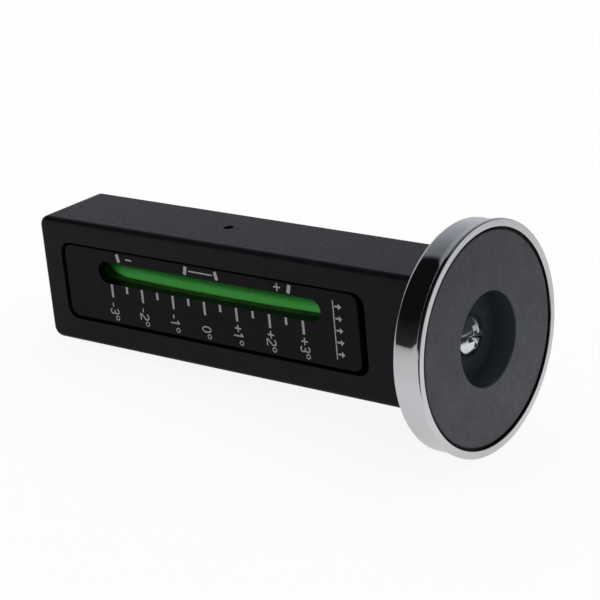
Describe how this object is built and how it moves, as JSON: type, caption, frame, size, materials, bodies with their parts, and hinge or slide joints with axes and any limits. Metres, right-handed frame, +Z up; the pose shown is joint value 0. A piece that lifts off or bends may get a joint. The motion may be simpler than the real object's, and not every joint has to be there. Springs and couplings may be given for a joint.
{
  "type": "magnetic camber gauge",
  "caption": "Rectangular bar with a green spirit vial behind a slotted, degree-marked dial plate and a round pot magnet on one end, for reading wheel camber.",
  "frame": {"origin": "centre of the magnet's contact face, at the rim of the magnet cup", "axes": "+X out of the magnet's face along the bar, -Y out of the dial's face, +Z up as pictured with the gauge on its side"},
  "size_m": [0.15, 0.0636, 0.0636],
  "materials": {
    "black_housing": "satin black, fine grain",
    "black_plate": "satin black",
    "black_carrier": "matt black",
    "white_paint": "matt white fill",
    "clear_tube": "clear",
    "green_fluid": "clear green",
    "bubble": "clear",
    "white_bedding": "matt white",
    "black_rubber": "matt",
    "brass": "machined",
    "steel": "ground",
    "zinc_steel": "bright zinc",
    "black_steel": "black oxide",
    "chrome": "polished chrome",
    "ferrite": "ground dark grey ferrite",
    "black_resin": "matt black"
  },
  "bodies": {
    "bar": {"housing": "black_housing", "magnet_insert": "brass", "cal_inserts": "brass", "pivot_pin": "steel", "magnet_cup": "chrome", "magnet_ring": "ferrite", "filling_ring": "black_resin", "magnet_screw": "zinc_steel"},
    "dial": {"dial_plate": "black_plate", "dial_ticks": "white_paint", "carrier": "black_carrier", "plate_screws": "zinc_steel", "vial_tube": "clear_tube", "vial_plug_far": "black_rubber", "vial_plug_near": "black_rubber", "vial_bed": "white_bedding", "vial_fluid": "green_fluid"},
    "bubble": {"bubble": "bubble"},
    "pad_far": {"cal_pad_far": "brass"},
    "pad_near": {"cal_pad_near": "brass"},
    "screw_far": {"cal_screw_far": "black_steel"},
    "screw_near": {"cal_screw_near": "black_steel"}
  },
  "joints": [
    {"name": "bubble_travel", "type": "hinge", "parent": "dial", "child": "bubble", "pos_m": [-0.0875, 0.67124, 0.0047], "axis": [0, 0, 1], "range_deg": [-7.64, 0], "stiffness_Nm_per_rad": 0.01},
    {"name": "dial_tilt", "type": "hinge", "parent": "bar", "child": "dial", "pos_m": [-0.0875, 0.0011, 0], "axis": [0, 0, 1], "range_deg": [-0.75, 0.75]},
    {"name": "far_pad_slide", "type": "slide", "parent": "bar", "child": "pad_far", "axis": [0, -1, 0], "range_m": [-0.00054, 0.00054]},
    {"name": "far_screw_turn", "type": "hinge", "parent": "pad_far", "child": "screw_far", "pos_m": [-0.1275, 0.0091, 0], "axis": [0, -1, 0], "range_deg": [-271, 271]},
    {"name": "near_pad_slide", "type": "slide", "parent": "bar", "child": "pad_near", "axis": [0, -1, 0], "range_m": [-0.00054, 0.00054]},
    {"name": "near_screw_turn", "type": "hinge", "parent": "pad_near", "child": "screw_near", "pos_m": [-0.0475, 0.0091, 0], "axis": [0, -1, 0], "range_deg": [-271, 271]}
  ],
  "couplings": [
    {"joint": "far_pad_slide", "follows": "dial_tilt", "m_per_rad": 0.04},
    {"joint": "near_pad_slide", "follows": "dial_tilt", "m_per_rad": -0.04},
    {"joint": "far_screw_turn", "follows": "dial_tilt", "ratio": 359.04},
    {"joint": "near_screw_turn", "follows": "dial_tilt", "ratio": -359.04}
  ]
}
